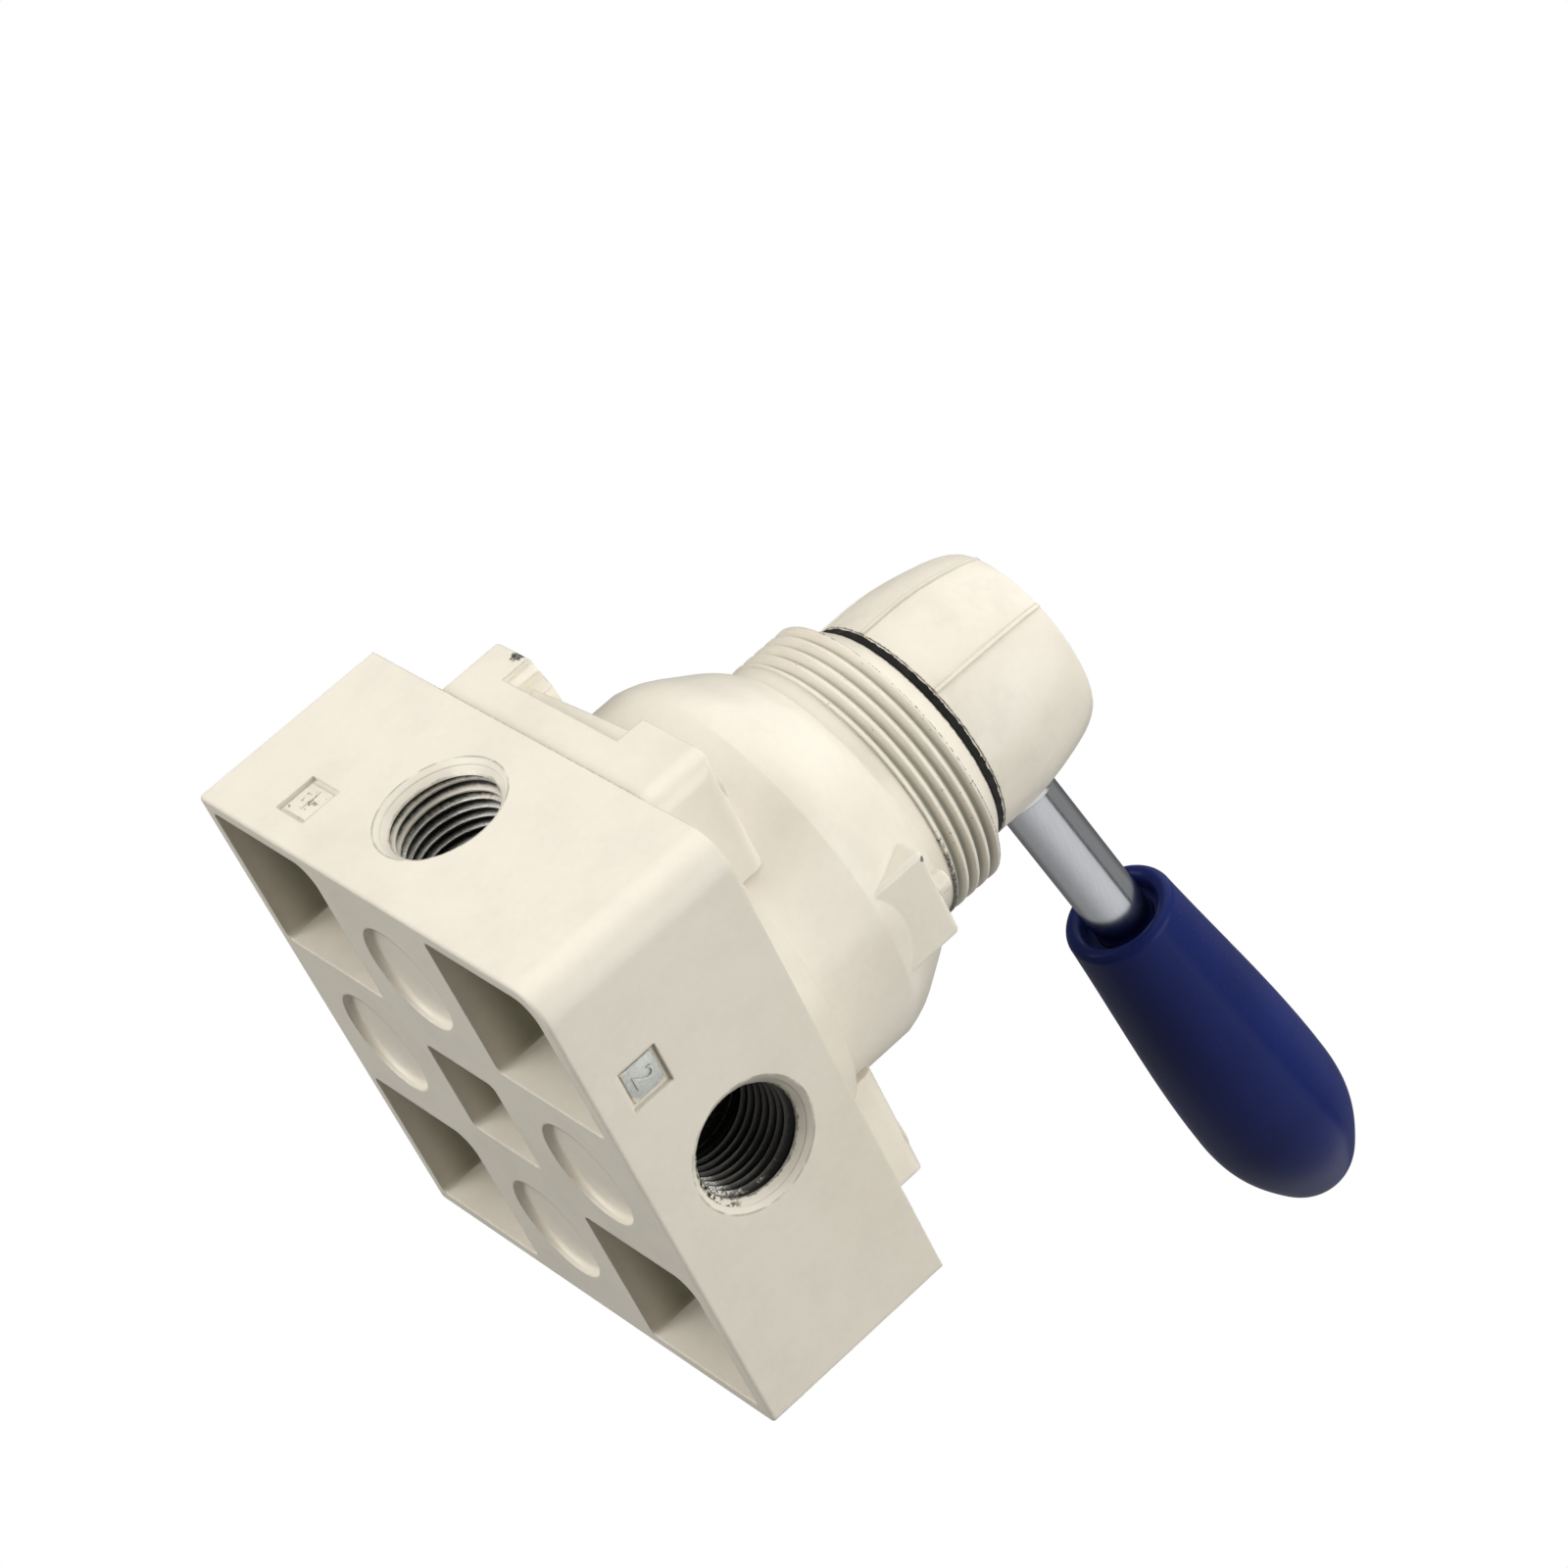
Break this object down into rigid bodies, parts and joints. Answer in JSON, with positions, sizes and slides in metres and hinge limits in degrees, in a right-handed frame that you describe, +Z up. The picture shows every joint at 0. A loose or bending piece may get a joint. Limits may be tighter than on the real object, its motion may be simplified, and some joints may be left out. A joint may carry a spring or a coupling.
{
  "type": "hand lever air valve",
  "caption": "Square-based rotary air valve with a threaded port in each side, a domed cover with a threaded panel collar, and a swinging hand lever with a swelling grip.",
  "frame": {"origin": "centre of the base's underside, on the spindle's axis", "axes": "+Z up along the spindle towards the hub, +Y along the lever in its middle position"},
  "size_m": [0.06, 0.1191, 0.088],
  "materials": {
    "cream_paint": "die-cast aluminium with satin cream paint",
    "machined_aluminium": "turned and lapped",
    "plain_steel": "machined",
    "zinc_steel": "zinc plated",
    "satin_chrome": "satin",
    "brass": "machined",
    "black_rubber": "matte",
    "bearing_plastic": "smooth",
    "blue_plastic": "gloss"
  },
  "bodies": {
    "valve_body": {"base_body": "cream_paint", "port_seals": "black_rubber", "seat_plate": "machined_aluminium", "seat_dowels": "plain_steel", "cover_gasket": "black_rubber", "cover": "cream_paint", "cover_screws": "zinc_steel", "cover_washers": "zinc_steel", "locating_pin": "cream_paint", "stop_pin": "plain_steel", "spindle_bush": "bearing_plastic"},
    "lever": {"rotor_disc": "machined_aluminium", "disc_spring": "plain_steel", "spindle": "plain_steel", "shaft_seals": "black_rubber", "thrust_washer": "bearing_plastic", "detent_spring_a": "plain_steel", "detent_spring_b": "plain_steel", "dust_ring": "black_rubber", "hub": "cream_paint", "hub_washer": "zinc_steel", "hub_screw": "zinc_steel", "lever_rod": "satin_chrome", "grip_insert": "brass", "grip": "blue_plastic"},
    "detent_ball_a": {"detent_ball_a": "plain_steel"},
    "detent_ball_b": {"detent_ball_b": "plain_steel"}
  },
  "joints": [
    {"name": "lever_turn", "type": "hinge", "parent": "valve_body", "child": "lever", "pos_m": [0, 0, 0.0652], "axis": [0, 0, 1], "range_deg": [-45, 45]},
    {"name": "detent_a_lift", "type": "slide", "parent": "lever", "child": "detent_ball_a", "axis": [0, 0, 1], "range_m": [0, 0.0004], "stiffness_N_per_m": 400, "springref_m": 0.002, "deforming": ["detent_spring_a"]},
    {"name": "detent_b_lift", "type": "slide", "parent": "lever", "child": "detent_ball_b", "axis": [0, 0, 1], "range_m": [0, 0.0004], "stiffness_N_per_m": 400, "springref_m": 0.002, "deforming": ["detent_spring_b"]}
  ]
}
